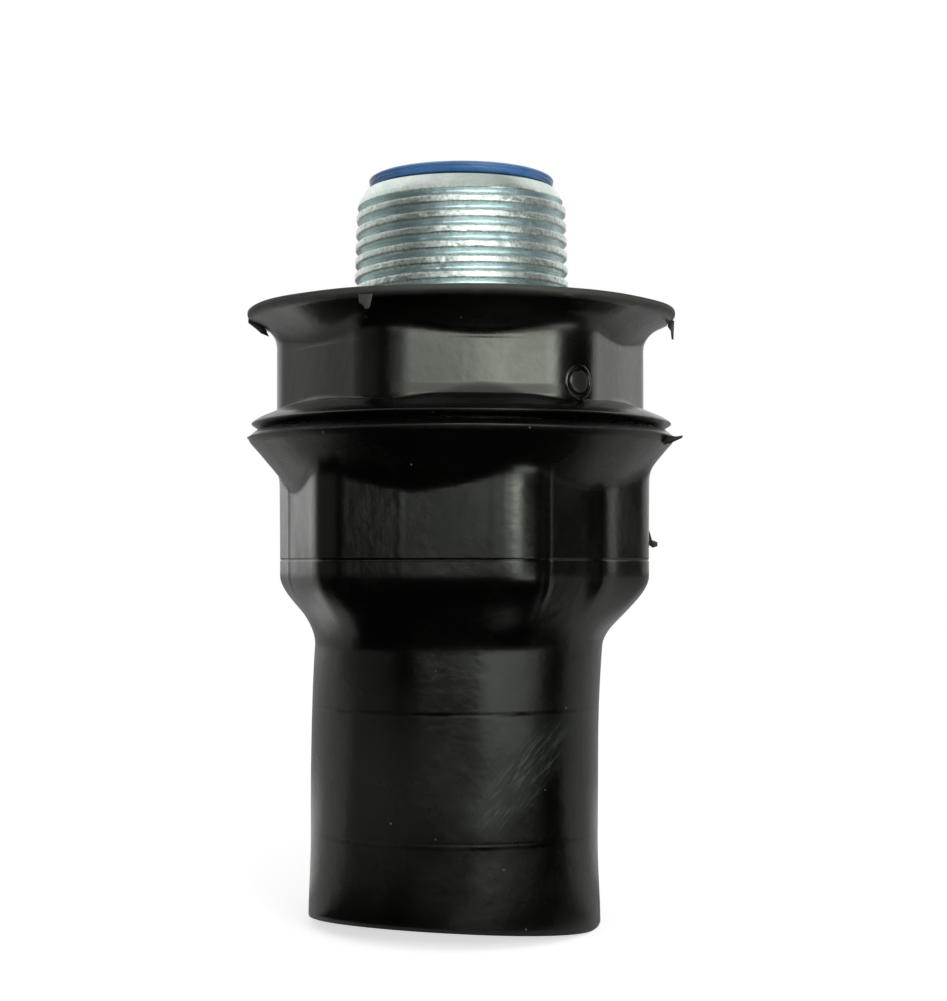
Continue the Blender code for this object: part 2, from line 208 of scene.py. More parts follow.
def axes_of(place):
    """X, Y and Z of a place."""
    return [Wire(axis) for axis in add_node(place.tree, "ShaderNodeSeparateXYZ", {0: place}).outputs]


def place_of(x, y, z):
    """Place with a given X, Y and Z."""
    return step("ShaderNodeCombineXYZ", {0: x, 1: y, 2: z})


print("a wire can be added, subtracted, multiplied and divided")

# %% [markdown]
# ## Floor, world and light
#
# Glossy black plastic shows its surroundings more than its own colour. The photo's part stood in a
# white surround, open to a dark room in front, with one bright soft light just right of the camera.
# So the stage has a white world, a pale floor, soft lights, and dark cards that only reflections see.
#
# The floor and the world turn white for the camera by their own colour. No extra light falls on the
# part for that, and the floor keeps its soft shadow.

# %% World and floor
WORLD_LIGHT = 0.45
FLOOR_COLOR = 0.8
FLOOR_SIZE = 6.0
FLOOR_DROP = 0.05 * MM


def ray_kind(tree, name):
    """1 for one kind of ray, such as Is Camera Ray, and 0 for the others."""
    return source(tree, "ShaderNodeLightPath", name)


def light_world():
    """World that is white to the camera, in mirrors and through glass, and softer as a light."""
    world = bpy.data.worlds.new("white surround")
    world.use_nodes = True
    tree = world.node_tree
    seen = calculate("MAXIMUM", ray_kind(tree, "Is Camera Ray"), ray_kind(tree, "Is Glossy Ray"))
    seen = calculate("MAXIMUM", seen, ray_kind(tree, "Is Transmission Ray"))
    strength = remap(seen, 0.0, 1.0, WORLD_LIGHT, 1.0)
    fill(tree.nodes["Background"], {"Color": (1, 1, 1, 1), "Strength": strength})
    scene.world = world


def bare_material(name):
    """Material with an empty tree."""
    material = bpy.data.materials.new(name)
    material.use_nodes = True
    material.node_tree.nodes.clear()
    return material, material.node_tree


def shown(name, mesh, material):
    """Object that shows a mesh in one material."""
    mesh.materials.append(material)
    prop = bpy.data.objects.new(name, mesh)
    scene.collection.objects.link(prop)
    return prop


def lay_floor():
    """Pale floor that keeps the part's shadow and looks white."""
    half = FLOOR_SIZE / 2
    mesh = bpy.data.meshes.new("floor")
    corners = [(-half, -half), (half, -half), (half, half), (-half, half)]
    mesh.from_pydata([(x, y, -FLOOR_DROP) for x, y in corners], [], [(0, 1, 2, 3)])
    material, tree = bare_material("pale floor")
    pale = add_node(tree, "ShaderNodeBsdfDiffuse", {"Color": (FLOOR_COLOR,) * 3 + (1.0,)})
    lift = ray_kind(tree, "Is Camera Ray") * (1.0 - FLOOR_COLOR * WORLD_LIGHT)
    glow = step("ShaderNodeEmission", {"Strength": lift})
    total = step("ShaderNodeAddShader", {0: Wire(pale.outputs[0]), 1: glow})
    add_node(tree, "ShaderNodeOutputMaterial", {"Surface": total})
    floor = shown("floor", mesh, material)


light_world()
lay_floor()
print("floor and world are white to look at")

# %% [markdown]
# ## Light cards
#
# Each light is a curved card that glows. Most of them fade towards their rims, as a soft box does.
# Three cards light the part. The others make up the room, and only mirror rays see them.

# %% Light cards
CARD_STEPS = 24
AIM_HEIGHT = 50 * MM


def between(limits, share):
    """Value at a share of the way from one limit to the other."""
    return limits[0] + (limits[1] - limits[0]) * share


def from_axis(direction, distance, height):
    """Point at a distance from the axis, in a direction in degrees from the front."""
    return Vector((distance * sin(radians(direction)), -distance * cos(radians(direction)), height))


def card_glow(name, level, edge):
    """Light of a card: even where edge is 0, and fading to its rim where edge is larger."""
    material, tree = bare_material(name)
    across, up, _ = axes_of(source(tree, "ShaderNodeTexCoord", "UV"))
    middle = across * (1.0 - across) * (up * (1.0 - up)) * 16.0
    glow = step("ShaderNodeEmission", {"Strength": calculate("POWER", middle, edge) * level})
    add_node(tree, "ShaderNodeOutputMaterial", {"Surface": glow})
    return material


def card_surface(name, place, level, edge):
    """Glowing sheet whose points come from place(across, up), soft towards its edges."""
    shares = [index / CARD_STEPS for index in range(CARD_STEPS + 1)]
    spots = [(across, up) for up in shares for across in shares]
    row = CARD_STEPS + 1
    starts = [j * row + i for j in range(CARD_STEPS) for i in range(CARD_STEPS)]
    faces = [(start, start + 1, start + row + 1, start + row) for start in starts]
    mesh = bpy.data.meshes.new(name)
    mesh.from_pydata([place(*spot) for spot in spots], [], faces)
    layer = mesh.uv_layers.new(name="card")
    for loop in mesh.loops:
        layer.data[loop.index].uv = spots[loop.vertex_index]
    card = shown(name, mesh, card_glow(name, level, edge))
    card.visible_camera = False
    return card


def wall_card(name, azimuths, elevations, distance, level, edge=0.0):
    """Card that stands round the part between two azimuths and two elevations."""

    def place(across, up):
        tilt = radians(between(elevations, up))
        height = AIM_HEIGHT + distance * sin(tilt)
        return from_axis(between(azimuths, across), distance * cos(tilt), height)

    return card_surface(name, place, level, edge)


def floor_card(name, azimuths, distances, height, level, edge=0.0):
    """Card that lies on the floor, as a sector of a ring round the part."""

    def place(across, out):
        return from_axis(between(azimuths, across), between(distances, out), height)

    return card_surface(name, place, level, edge)


wall_card("key light", (-6, 30), (-1, 30), 0.5, 6.2, 0.45)
wall_card("key core", (6, 38), (-1, 22), 0.49, 11.0, 0.85)
wall_card("top light", (-60, 60), (50, 88), 0.6, 0.65, 0.3)
for shade in (
    wall_card("high glow", (-24, 40), (16, 40), 0.70, 1.7, 0.9),
    wall_card("horizon glow", (-30, -4), (-0.5, 5.5), 0.70, 3.0, 0.3),
    wall_card("low glow", (32, 64), (-9, -1), 0.70, 0.6, 0.3),
    wall_card("dark room", (-50, 110), (-6, 40), 0.8, 0.01),
    wall_card("dim wall", (-105, -50), (-6, 12), 0.8, 0.24),
    wall_card("grey wall", (-130, -105), (-1, 14), 0.8, 0.6),
    wall_card("left wall", (-88, -50), (12, 60), 0.8, 0.03),
    wall_card("right wall", (60, 106), (40, 68), 0.8, 0.03),
    floor_card("left bench", (-175, -118), (0.02, 0.16), 0.2 * MM, 0.95, 0.3),
    floor_card("right bench", (118, 175), (0.02, 0.16), 0.2 * MM, 0.65, 0.3),
    floor_card("dark floor", (-88, 90), (0.024, 0.8), 0.1 * MM, 0.004),
    floor_card("bounce card", (16, 68), (0.16, 0.60), 0.3 * MM, 3.4, 0.6),
):
    shade.visible_diffuse = False
    shade.visible_shadow = False
    shade.visible_transmission = False
print("three lights, and a dark room with soft glows that only mirror rays see")

# %% [markdown]
# ## Finishes
#
# Every finish starts from a piece's own coordinates, so its pattern stays on the piece when the part
# moves. A few helpers draw clouds, streaks, specks and soft spots, and lay bumps over one another.

# %% Finish helpers
def new_material(name):
    """Material, its Principled shader and the piece's own coordinates."""
    material = bpy.data.materials.new(name)
    material.use_nodes = True
    tree = material.node_tree
    return material, tree.nodes["Principled BSDF"], source(tree, "ShaderNodeTexCoord", "Object")


def stored(place, name):
    """Amount that a piece's own points carry, such as how worn they are."""
    return source(place.tree, "ShaderNodeAttribute", "Fac", attribute_name=name)


def stretched(place, scale, turn=(0, 0, 0)):
    """Coordinates that are turned and then stretched, to draw a pattern out along one way."""
    turned_place = step("ShaderNodeMapping", {"Vector": place, "Rotation": turn})
    return step("ShaderNodeMapping", {"Vector": turned_place, "Scale": scale})


def noise(place, scale, detail=3.0, roughness=0.5):
    """Cloudy pattern between 0 and 1."""
    inputs = {"Vector": place, "Scale": scale, "Detail": detail, "Roughness": roughness}
    return step("ShaderNodeTexNoise", inputs)


def bumped(*bumps):
    """Bumps over one another, each from a height pattern and its depth in millimetres."""
    under = {}
    for height, depth in bumps:
        under = {"Normal": step("ShaderNodeBump", {"Height": height, "Distance": depth * MM, **under})}
    return under["Normal"]


def specks(place, cell, size, share):
    """Small round specks, in some of the cells of a random pattern."""
    cells = add_node(place.tree, "ShaderNodeTexVoronoi", {"Vector": place, "Scale": 1 / cell}).outputs
    near = calculate("LESS_THAN", Wire(cells["Distance"]), size)
    draw = step("ShaderNodeSeparateColor", {0: Wire(cells["Color"])})
    return near * calculate("GREATER_THAN", draw, 1 - share)


def near_point(place, centre, size):
    """1 at a point, falling softly to 0 at a distance from it."""
    away = step("ShaderNodeVectorMath", {0: place, 1: centre}, "Value", operation="DISTANCE")
    return remap(away, size, 0.15 * size, smooth=True)


print("clouds, streaks, specks and spots are ready for the finishes")

# %% [markdown]
# ## Black PVC
#
# The coat is dipped or moulded PVC. It is almost black, so its shape is read from its sheen. The
# finish needs a soft orange peel, faint drag lines along the part, patches that handling has dulled,
# a soft paler spot on the sleeve's left front, dust specks, and on the sleeve's right front a scuff
# with a green cast.

# %% Black PVC
PVC_BLACK = (0.0007, 0.0007, 0.0006)
PVC_DULLED = (0.0038, 0.0040, 0.0033)
PVC_PALE_SPOT = (0.0150, 0.0155, 0.0125)
PVC_TORN = (0.040, 0.042, 0.036)
PVC_SCUFF = (0.006, 0.011, 0.008)
PVC_SCRATCH = (0.045, 0.062, 0.051)
PVC_SHEEN = (0.94, 1.0, 0.85, 1.0)
DUST = (0.08, 0.09, 0.07)
SCUFF_PLACE = (7.6 * MM, -15.5 * MM, 20.2 * MM)
SCUFF_SLOPE = radians(-40)
SCUFF_SPREAD = (3.6 * MM, 12.0 * MM, 11.0 * MM)
# A soft paler spot on the sleeve's left front: its colour, its centre and how far it fades.
PALE_SPOT_PLACE = (-13.0 * MM, -12.0 * MM, 18.0 * MM)
PALE_SPOT_SIZE = 17.0 * MM
SLEEVE_LINES = (27.2 * MM, 11.7 * MM)
STAIN_WIDTH = 0.42 * MM


def pvc_scuff(place):
    """Haze and slanted scratches that fade out round one spot of the sleeve."""
    away = step("ShaderNodeVectorMath", {0: place, 1: SCUFF_PLACE}, operation="SUBTRACT")
    turn = (0, SCUFF_SLOPE, 0)
    spread = stretched(away, [1 / size for size in SCUFF_SPREAD], turn)
    length = step("ShaderNodeVectorMath", {0: spread}, "Value", operation="LENGTH")
    spot = remap(length, 1.0, 0.25, smooth=True)
    fine_place = stretched(place, (1, 0.1, 0.08), turn)
    scratches = remap(noise(fine_place, 4200, 2.0, 0.6), 0.50, 0.75)
    haze = remap(noise(fine_place, 700), 0.30, 0.6, 0.3, 1.0)
    return haze * spot, scratches * spot


def pvc_stain(place):
    """Dull thin lines round the sleeve, where the mould's parts met, strongest in front."""
    _, depth, height = axes_of(place)
    away = [calculate("ABSOLUTE", height - line) for line in SLEEVE_LINES]
    stain = sum(remap(distance, STAIN_WIDTH, 0.0, smooth=True) for distance in away)
    front = remap(depth, -10.0 * MM, -16.0 * MM, 0.2, 1.0)
    patchy = remap(noise(place, 260, 2.0), 0.3, 0.55, 0.4, 1.0)
    return stain * (front * patchy)


def make_black_pvc():
    """Finish of both jackets."""
    material, shader, place = new_material("black_pvc")
    smudge = noise(place, 90, 4.0, 0.6)
    drag = noise(stretched(place, (1, 1, 0.06)), 1100)
    peel = noise(place, 650, 2.0)
    grain = noise(place, 4200, 2.0, 0.6)
    scuff, scratches = pvc_scuff(place)
    dust = specks(place, 2.6 * MM, 0.05, 0.25)
    worn = stored(place, "worn")

    color = blend(remap(smudge, 0.45, 0.75, smooth=True), PVC_BLACK, PVC_DULLED)
    for share, layer in (
        (near_point(place, PALE_SPOT_PLACE, PALE_SPOT_SIZE), PVC_PALE_SPOT),
        (scuff, PVC_SCUFF),
        (scratches, PVC_SCRATCH),
        (worn, PVC_TORN),
        (dust, DUST),
    ):
        color = blend(share, color, layer)
    rough = remap(smudge, 0.3, 0.75, 0.20, 0.34) + scuff * 0.16 + worn * 0.4
    finish = {
        "Base Color": color,
        "Roughness": calculate("MAXIMUM", rough, dust * 0.8),
        "Normal": bumped((peel, 0.03), (drag, 0.008), (grain, 0.004), (scuff, 0.02)),
        "Specular IOR Level": remap(pvc_stain(place), 0.0, 1.0, 0.5, 0.02),
        "Specular Tint": PVC_SHEEN,
    }
    fill(shader, finish)
    return material


BLACK_PVC = make_black_pvc()
print("made", BLACK_PVC.name)

# %% [markdown]
# ## Zinc plate
#
# Bright zinc with a clear blue passivation: pale, cool and slightly cloudy. The die leaves torn
# specks on the thread, which fade towards the plain nose, and dirt and shade gather in its grooves.
# The thread stores how deep each point lies as an attribute called groove, and the finish reads it.

# %% Zinc plate
ZINC_PALE = (0.86, 0.95, 0.89)
ZINC_DULL = (0.50, 0.59, 0.55)
ZINC_GROOVE = (0.62, 0.75, 0.79)
PLAIN_NOSE = (0.8 * MM, 2.6 * MM)


def make_zinc():
    """Finish of the steel body and the steel nut, plainer on the hub's nose."""
    material, shader, place = new_material("zinc_plate")
    cloud = noise(place, 160, 4.0, 0.6)
    torn = noise(stretched(place, (1, 1, 2.2)), 1500, 4.0, 0.75)
    mottle = noise(place, 2600, 3.0, 0.7)
    lines = noise(stretched(place, (0.12, 0.12, 1)), 5200, 2.0)
    nose_top, nose_foot = (HUB_TOP - drop for drop in PLAIN_NOSE)
    cut = remap(axes_of(place)[2], nose_top, nose_foot, 0.2, 1.0, smooth=True)

    color = blend(remap(cloud, 0.42, 0.62, 0.0, 0.5, smooth=True), ZINC_PALE, ZINC_DULL)
    color = blend(remap(mottle, 0.46, 0.62) * cut, color, ZINC_DULL)
    color = blend(remap(stored(place, "groove"), 0.3, 0.9, 0.0, 0.8), color, ZINC_GROOVE)
    finish = {
        "Base Color": color,
        "Metallic": 1.0,
        "Roughness": remap(torn, 0.3, 0.7, 0.26, 0.48),
        "Normal": bumped((torn * cut, 0.09), (mottle * cut, 0.03), (lines, 0.012)),
    }
    fill(shader, finish)
    return material


ZINC = make_zinc()
print("made", ZINC.name)

# %% [markdown]
# ## Nylon and plain steel
#
# The throat and the sealing ring are moulded nylon, so they are smooth with a fine grain and a soft
# cloud in their colour. The ferrule is drawn steel, with fine lines round it.

# %% Nylon and steel
def make_nylon(name, light, deep, rough):
    """Moulded nylon with a light and a deep tone."""
    material, shader, place = new_material(name)
    grain = noise(place, 3000, 2.0)
    finish = {
        "Base Color": blend(remap(noise(place, 220), 0.35, 0.65, smooth=True), deep, light),
        "Roughness": remap(grain, 0.3, 0.7, rough, rough + 0.12),
        "Normal": bumped((grain, 0.008)),
    }
    fill(shader, finish)
    return material


def make_ferrule_steel():
    """Bare drawn steel of the ferrule."""
    material, shader, place = new_material("ferrule_steel")
    lines = noise(stretched(place, (0.1, 0.1, 1)), 4000)
    finish = {
        "Base Color": blend(lines, (0.50, 0.51, 0.53), (0.62, 0.63, 0.63)),
        "Metallic": 1.0,
        "Roughness": remap(lines, 0.3, 0.7, 0.28, 0.42),
        "Normal": bumped((lines, 0.01)),
    }
    fill(shader, finish)
    return material


BLUE_NYLON = make_nylon("blue_nylon", (0.055, 0.165, 0.370), (0.030, 0.115, 0.290), 0.26)
NATURAL_NYLON = make_nylon("natural_nylon", (0.72, 0.70, 0.62), (0.60, 0.57, 0.48), 0.38)
FERRULE_STEEL = make_ferrule_steel()
print("made", BLUE_NYLON.name, NATURAL_NYLON.name, FERRULE_STEEL.name)

# %% [markdown]
# ## Skins made of rings
#
# Every large piece here is a stack of closed rings about one axis: a turned shape is a stack of
# circles, and a jacket's rings change from hexagon to circle. So one helper skins a stack of rings.
# Each ring has the same number of points, in the same directions, which keeps the loft straight.

# %% Rings
def directions(count):
    """Angles of a ring's points, anticlockwise from +X."""
    return np.arange(count) * 2 * np.pi / count


def ring(angles, radius, height, lean=0.0):
    """Points of one ring. The radius, the height and the sideways lean may differ from point to point."""
    radius = np.broadcast_to(radius, angles.shape)
    height = np.broadcast_to(height, angles.shape)
    return np.stack([np.cos(angles) * radius + lean, np.sin(angles) * radius, height], axis=1)


def ring_skin(name, rings, closed=True):
    """Mesh over a stack of rings, up the outside, over the top and down the inside."""
    count = len(rings[0])
    mesh = bpy.data.meshes.new(name)
    last = len(rings) if closed else len(rings) - 1
    low = np.arange(last)[:, None] * count
    high = (np.arange(last)[:, None] + 1) % len(rings) * count
    here = np.arange(count)
    after = (here + 1) % count
    faces = np.stack([low + here, low + after, high + after, high + here], axis=2).reshape(-1, 4)
    mesh.from_pydata(np.concatenate(rings).tolist(), [], faces.tolist())
    return mesh


def finished(name, mesh, material, body, node, sharp=35):
    """Show a mesh as a piece that rides on a body and stands for a node."""
    mesh.shade_smooth()
    mesh.set_sharp_from_angle(angle=radians(sharp))
    if not mesh.materials:
        mesh.materials.append(material)
    piece = bpy.data.objects.new(name, mesh)
    scene.collection.objects.link(piece)
    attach(piece, body)
    if node:
        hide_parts(node)
    mesh.calc_loop_triangles()
    print(name, "has", len(mesh.loop_triangles), "triangles")


def rounded(outline, radius, steps=4):
    """Closed outline of (radius, height) points with each corner rounded by an arc-like curve."""
    points = [Vector(point) for point in outline]
    result = []
    for before, corner, after in zip(points[-1:] + points[:-1], points, points[1:] + points[:1]):
        reach_in = min(radius, (before - corner).length * 0.45)
        reach_out = min(radius, (after - corner).length * 0.45)
        start = corner + (before - corner).normalized() * reach_in
        end = corner + (after - corner).normalized() * reach_out
        for index in range(steps + 1):
            share = index / steps
            result.append(start.lerp(corner, share).lerp(corner.lerp(end, share), share))
    return result


def stack(angles, outline):
    """Rings from pairs of a radius and a height."""
    return [ring(angles, radius, height) for radius, height in outline]


def turned(name, outline, count, edge):
    """Mesh of an outline turned about the axis, with its edges rounded."""
    return ring_skin(name, stack(directions(count), rounded(outline, edge)))


def rim_rings(angles, outline, edge, steps=4):
    """Rings along an open outline, with the corners between its two ends rounded."""
    corners = rounded(outline, edge, steps)[steps + 1 : -(steps + 1)]
    return stack(angles, [outline[0], *corners, outline[-1]])


print("corners of a ring of four:", ring(directions(4), 1.0, 0.0).round(2).tolist())

# %% [markdown]
# ## Threads
#
# The hub has a tapered pipe thread and the barrel a straight one. A thread could be a swept
# triangle, but a sweep doesn't join the plain steel beside it. Here Geometry Nodes roll a flat grid
# into a band instead. Each row of the grid climbs by one pitch on its way round, so a crest stays on
# its row, and rows past either end are pressed flat against it. The band's two rims are then plain
# circles that merge with the steel.

# %% Thread shape
THREAD_INPUTS = {
    "NodeSocketFloat": (
        "Pitch", "Depth", "Radius", "Taper", "Foot", "Top", "Foot run-out", "Top run-out",
        "Nose length", "Nose drop", "Start turn", "Torn metal",
    ),
    "NodeSocketInt": ("Columns", "Rows", "Rows a turn"),
    "NodeSocketBool": ("Inside",),
    "NodeSocketMaterial": ("Material",),
}
ROOT_FLAT = 0.10
CREST_FLAT = 0.54
MERGE_WITHIN = 0.002 * MM


def thread_profile(given, travel):
    """Height of the thread's flank, from 0 in its root to 1 on its crest, after some turns."""
    phase = calculate("FRACT", travel + given["Start turn"])
    peak = 1.0 - calculate("ABSOLUTE", phase * 2.0 - 1.0)
    straight = remap(peak, ROOT_FLAT, 1 - CREST_FLAT)
    soft = remap(peak, ROOT_FLAT * 0.5, 1 - CREST_FLAT * 0.5, smooth=True)
    return (straight + soft) * 0.5


def thread_fade(given, height):
    """1 along the thread, falling to 0 over the run-out at each end."""
    foot = remap(height - given["Foot"], 0.0, given["Foot run-out"], smooth=True)
    top = remap(given["Top"] - height, 0.0, given["Top run-out"], smooth=True)
    return foot * top


def thread_nose(given, height):
    """How much the rounded lead-in takes off the radius at a height."""
    share = calculate("MINIMUM", (given["Top"] - height) / given["Nose length"], 1.0)
    return (1.0 - calculate("SINE", share * radians(90))) * given["Nose drop"]


def torn_metal(given, height, angle):
    """Depth of the small tears that the die leaves."""
    spot = place_of(calculate("COSINE", angle), calculate("SINE", angle), height * 90.0)
    return remap(noise(spot, 9.0, 4.0), 0.5, 0.75) * given["Torn metal"]


def thread_radius(given, height, flank, fade, angle):
    """Radius of the thread at a height: taper, flank, torn metal and lead-in together."""
    full = given["Radius"] - (height - given["Foot"]) * given["Taper"]
    cut = ((1.0 - flank) * given["Depth"] + torn_metal(given, height, angle)) * fade
    cut = calculate("MAXIMUM", cut, thread_nose(given, height))
    return full - cut * (1.0 - given["Inside"] * 2.0)


print("a thread takes", sum(len(names) for names in THREAD_INPUTS.values()), "sizes and choices")

# %% [markdown]
# ## Thread tree
#
# One tree puts these formulas together, with the thread's sizes as its inputs. A piece gets a band
# of thread from a modifier that fills them in, and the band's rims are merged with the plain steel.

# %% Thread tree
def thread_band(given, here):
    """Flat grid rolled into a band of thread, from where its points lie before."""
    size = {"Size X": 1.0, "Size Y": 1.0, "Vertices X": given["Columns"] + 1.0, "Vertices Y": given["Rows"]}
    grid = step("GeometryNodeMeshGrid", size, "Mesh")
    across, up = (axis + 0.5 for axis in axes_of(here)[:2])
    travel = calculate("ROUND", up * (given["Rows"] - 1.0)) / given["Rows a turn"]
    height = given["Foot"] + (travel + across - 1.0) * given["Pitch"]
    height = calculate("MINIMUM", calculate("MAXIMUM", height, given["Foot"]), given["Top"])
    angle = across * (2 * np.pi)

    flank = thread_profile(given, travel)
    fade = thread_fade(given, height)
    radius = thread_radius(given, height, flank, fade, angle)
    place = place_of(calculate("COSINE", angle) * radius, calculate("SINE", angle) * radius, height)
    groove = {"Geometry": grid, "Name": "groove", "Value": (1.0 - flank) * fade}
    band = step("GeometryNodeStoreNamedAttribute", groove, data_type="FLOAT", domain="POINT")
    band = step("GeometryNodeSetPosition", {"Geometry": band, "Position": place})
    return step("GeometryNodeFlipFaces", {"Mesh": band, "Selection": given["Inside"]})


def build_thread_tree():
    """Geometry Nodes tree that adds a band of thread to a plain open piece."""
    tree = bpy.data.node_groups.new("Thread band", "GeometryNodeTree")
    for way in ("INPUT", "OUTPUT"):
        tree.interface.new_socket("Geometry", in_out=way, socket_type="NodeSocketGeometry")
    for kind, names in THREAD_INPUTS.items():
        for name in names:
            tree.interface.new_socket(name, in_out="INPUT", socket_type=kind)
    given = {socket.name: Wire(socket) for socket in add_node(tree, "NodeGroupInput").outputs}

    both = add_node(tree, "GeometryNodeJoinGeometry", {0: given["Geometry"]})
    fill(both, {0: thread_band(given, source(tree, "GeometryNodeInputPosition"))})
    merge = {"Geometry": Wire(both.outputs[0]), "Distance": MERGE_WITHIN}
    whole = step("GeometryNodeMergeByDistance", merge)
    real = step("GeometryNodeRealizeInstances", {"Geometry": whole})
    coated = step("GeometryNodeSetMaterial", {"Geometry": real, "Material": given["Material"]})
    add_node(tree, "NodeGroupOutput", {"Geometry": coated})
    return tree


def threaded(mesh, bands):
    """Plain mesh of a piece after each band of thread has been added to it."""
    piece = bpy.data.objects.new("plain piece", mesh)
    scene.collection.objects.link(piece)
    for band in bands:
        modifier = piece.modifiers.new("thread", "NODES")
        modifier.node_group = THREAD_TREE
        turns = (band["Top"] - band["Foot"]) / band["Pitch"] + 1
        values = {"Rows": ceil(turns * band["Rows a turn"]) + 1, "Material": ZINC, **band}
        for socket in THREAD_TREE.interface.items_tree:
            if socket.in_out == "INPUT" and socket.name in values:
                modifier[socket.identifier] = values[socket.name]
    graph = bpy.context.evaluated_depsgraph_get()
    result = bpy.data.meshes.new_from_object(piece.evaluated_get(graph))
    bpy.data.objects.remove(piece)
    return result


THREAD_TREE = build_thread_tree()
print("thread tree has", len(THREAD_TREE.nodes), "nodes")

# %% [markdown]
# ## Hexagons
#
# A hexagon with rounded corners has a simple formula for its distance from the axis in every
# direction. Working with that distance makes it easy to blend a hexagon with a circle, which is what
# a moulded lip or a shoulder does.

# %% Hexagons
SIXTH = np.pi / 3
CROWN = 0.10 * MM


def hexagon_reach(angles, apothem, corner, turn):
    """Distance from the axis to a rounded hexagon whose one flat faces turn degrees from the front."""
    aside = np.abs((angles - radians(turn - 90) + SIXTH / 2) % SIXTH - SIXTH / 2)
    core = (apothem - corner) / cos(SIXTH / 2)
    off = SIXTH / 2 - aside
    arc = core * np.cos(off) + np.sqrt(np.maximum(corner**2 - (core * np.sin(off)) ** 2, 0))
    on_flat = apothem * np.tan(aside) <= (apothem - corner) * tan(SIXTH / 2)
    return np.where(on_flat, apothem / np.cos(aside), arc)


def crown(angles, turn):
    """Bulge of a moulded hexagon's flats, which aren't quite flat."""
    return CROWN * np.cos(6 * (angles - radians(turn - 90)))


def soft_max(first, second, fillet):
    """The larger of two lengths, with a fillet where they meet."""
    return (first + second + np.sqrt((first - second) ** 2 + fillet**2)) / 2


def soft_step(share):
    """Rise from 0 to 1 with level ends."""
    share = np.clip(share, 0, 1)
    return share * share * (3 - 2 * share)


def bell(distance, width):
    """1 in the middle, falling to 0 about two widths away."""
    return np.exp(-((distance / width) ** 2))


corner_reach = hexagon_reach(directions(360), BODY_STEEL, STEEL_CORNER, BODY_TURN).max()
print("steel hexagon reaches", round(BODY_STEEL / MM, 2), "to", round(corner_reach / MM, 2), "mm")

# %% [markdown]
# ## Steel body
#
# One piece of steel: the hub, a hexagon under the coat, and the barrel that the nut screws onto. Two
# open stacks of rings make the plain surfaces, and the thread tree adds the hub's thread and the
# barrel's. The plated hub is the brightest thing in the photo, so its thread is real geometry.

# %% Steel body
PIPE_PITCH = 25.4 / 14 * MM
GLAND_PITCH = 25.4 / 16 * MM
PIPE_TAPER = 1 / 32
HUB_RADIUS = 13.5 * MM
HUB_BORE = 10.4 * MM
HUB_FOOT = BODY_TOP - 1.3 * MM
BARREL_RADIUS = 16.8 * MM
BARREL_BORE = 14.4 * MM
BODY_SEAT = BARREL_END + 16.0 * MM
STEEL_STEPS = 256
HUB_THREAD = {
    "Pitch": PIPE_PITCH,
    "Depth": 0.78 * MM,
    "Radius": HUB_RADIUS,
    "Taper": PIPE_TAPER,
    "Foot": HUB_FOOT,
    "Top": HUB_TOP,
    "Foot run-out": 1.6 * MM,
    "Top run-out": 1.9 * MM,
    "Nose length": 2.9 * MM,
    "Nose drop": 1.25 * MM,
    "Start turn": 0.69,
    "Torn metal": 0.12 * MM,
    "Columns": STEEL_STEPS,
    "Rows a turn": 20,
}
BARREL_THREAD = {
    "Pitch": GLAND_PITCH,
    "Depth": 0.85 * MM,
    "Radius": BARREL_RADIUS,
    "Foot": BARREL_END + 0.6 * MM,
    "Top": BODY_FACE - 0.3 * MM,
    "Foot run-out": 0.8 * MM,
    "Top run-out": 1.2 * MM,
    "Nose length": 1.0 * MM,
    "Torn metal": 0.03 * MM,
    "Columns": STEEL_STEPS,
    "Rows a turn": 10,
}


def make_steel_body():
    """Steel body with both threads."""
    angles = directions(STEEL_STEPS)
    hexagon = hexagon_reach(angles, BODY_STEEL, STEEL_CORNER, BODY_TURN)
    tip = HUB_RADIUS - (HUB_TOP - HUB_FOOT) * PIPE_TAPER - HUB_THREAD["Nose drop"]
    chamfer = 0.5 * MM
    hex_foot = BODY_FACE + GAP
    inside = [
        (tip, HUB_TOP),
        (HUB_BORE + 0.3 * MM, HUB_TOP),
        (HUB_BORE, HUB_TOP - 0.3 * MM),
        (HUB_BORE, BODY_SEAT + chamfer),
        (HUB_BORE + chamfer, BODY_SEAT),
        (BARREL_BORE, BODY_SEAT),
        (BARREL_BORE, BARREL_END + 1.5 * MM),
        (BARREL_BORE + 1.5 * MM, BARREL_END),
        (BARREL_RADIUS - 0.4 * MM, BARREL_END),
        (BARREL_RADIUS, BARREL_END + 0.4 * MM),
        (BARREL_RADIUS, BARREL_THREAD["Foot"]),
    ]
    outside = [
        (BARREL_RADIUS, BARREL_THREAD["Top"]),
        (BARREL_RADIUS, hex_foot),
        (hexagon - chamfer, hex_foot),
        (hexagon, hex_foot + chamfer),
        (hexagon, HUB_FOOT - chamfer),
        (hexagon - chamfer, HUB_FOOT),
        (HUB_RADIUS, HUB_FOOT),
    ]
    mesh = ring_skin("steel body", stack(angles, inside), closed=False)
    shape = bmesh.new()
    shape.from_mesh(mesh)
    shape.from_mesh(ring_skin("outside of steel body", stack(angles, outside), closed=False))
    shape.to_mesh(mesh)
    shape.free()
    return threaded(mesh, [HUB_THREAD, BARREL_THREAD])


finished("steel_body", make_steel_body(), ZINC, "body", "connector_body")

# %% [markdown]
# ## Throat
#
# The blue liner is a moulded nylon tube with a rolled rim. The rim is a turned outline: a round nose
# outside, a shallow groove where the mould parted, and a bell inside, so that wires slide in.

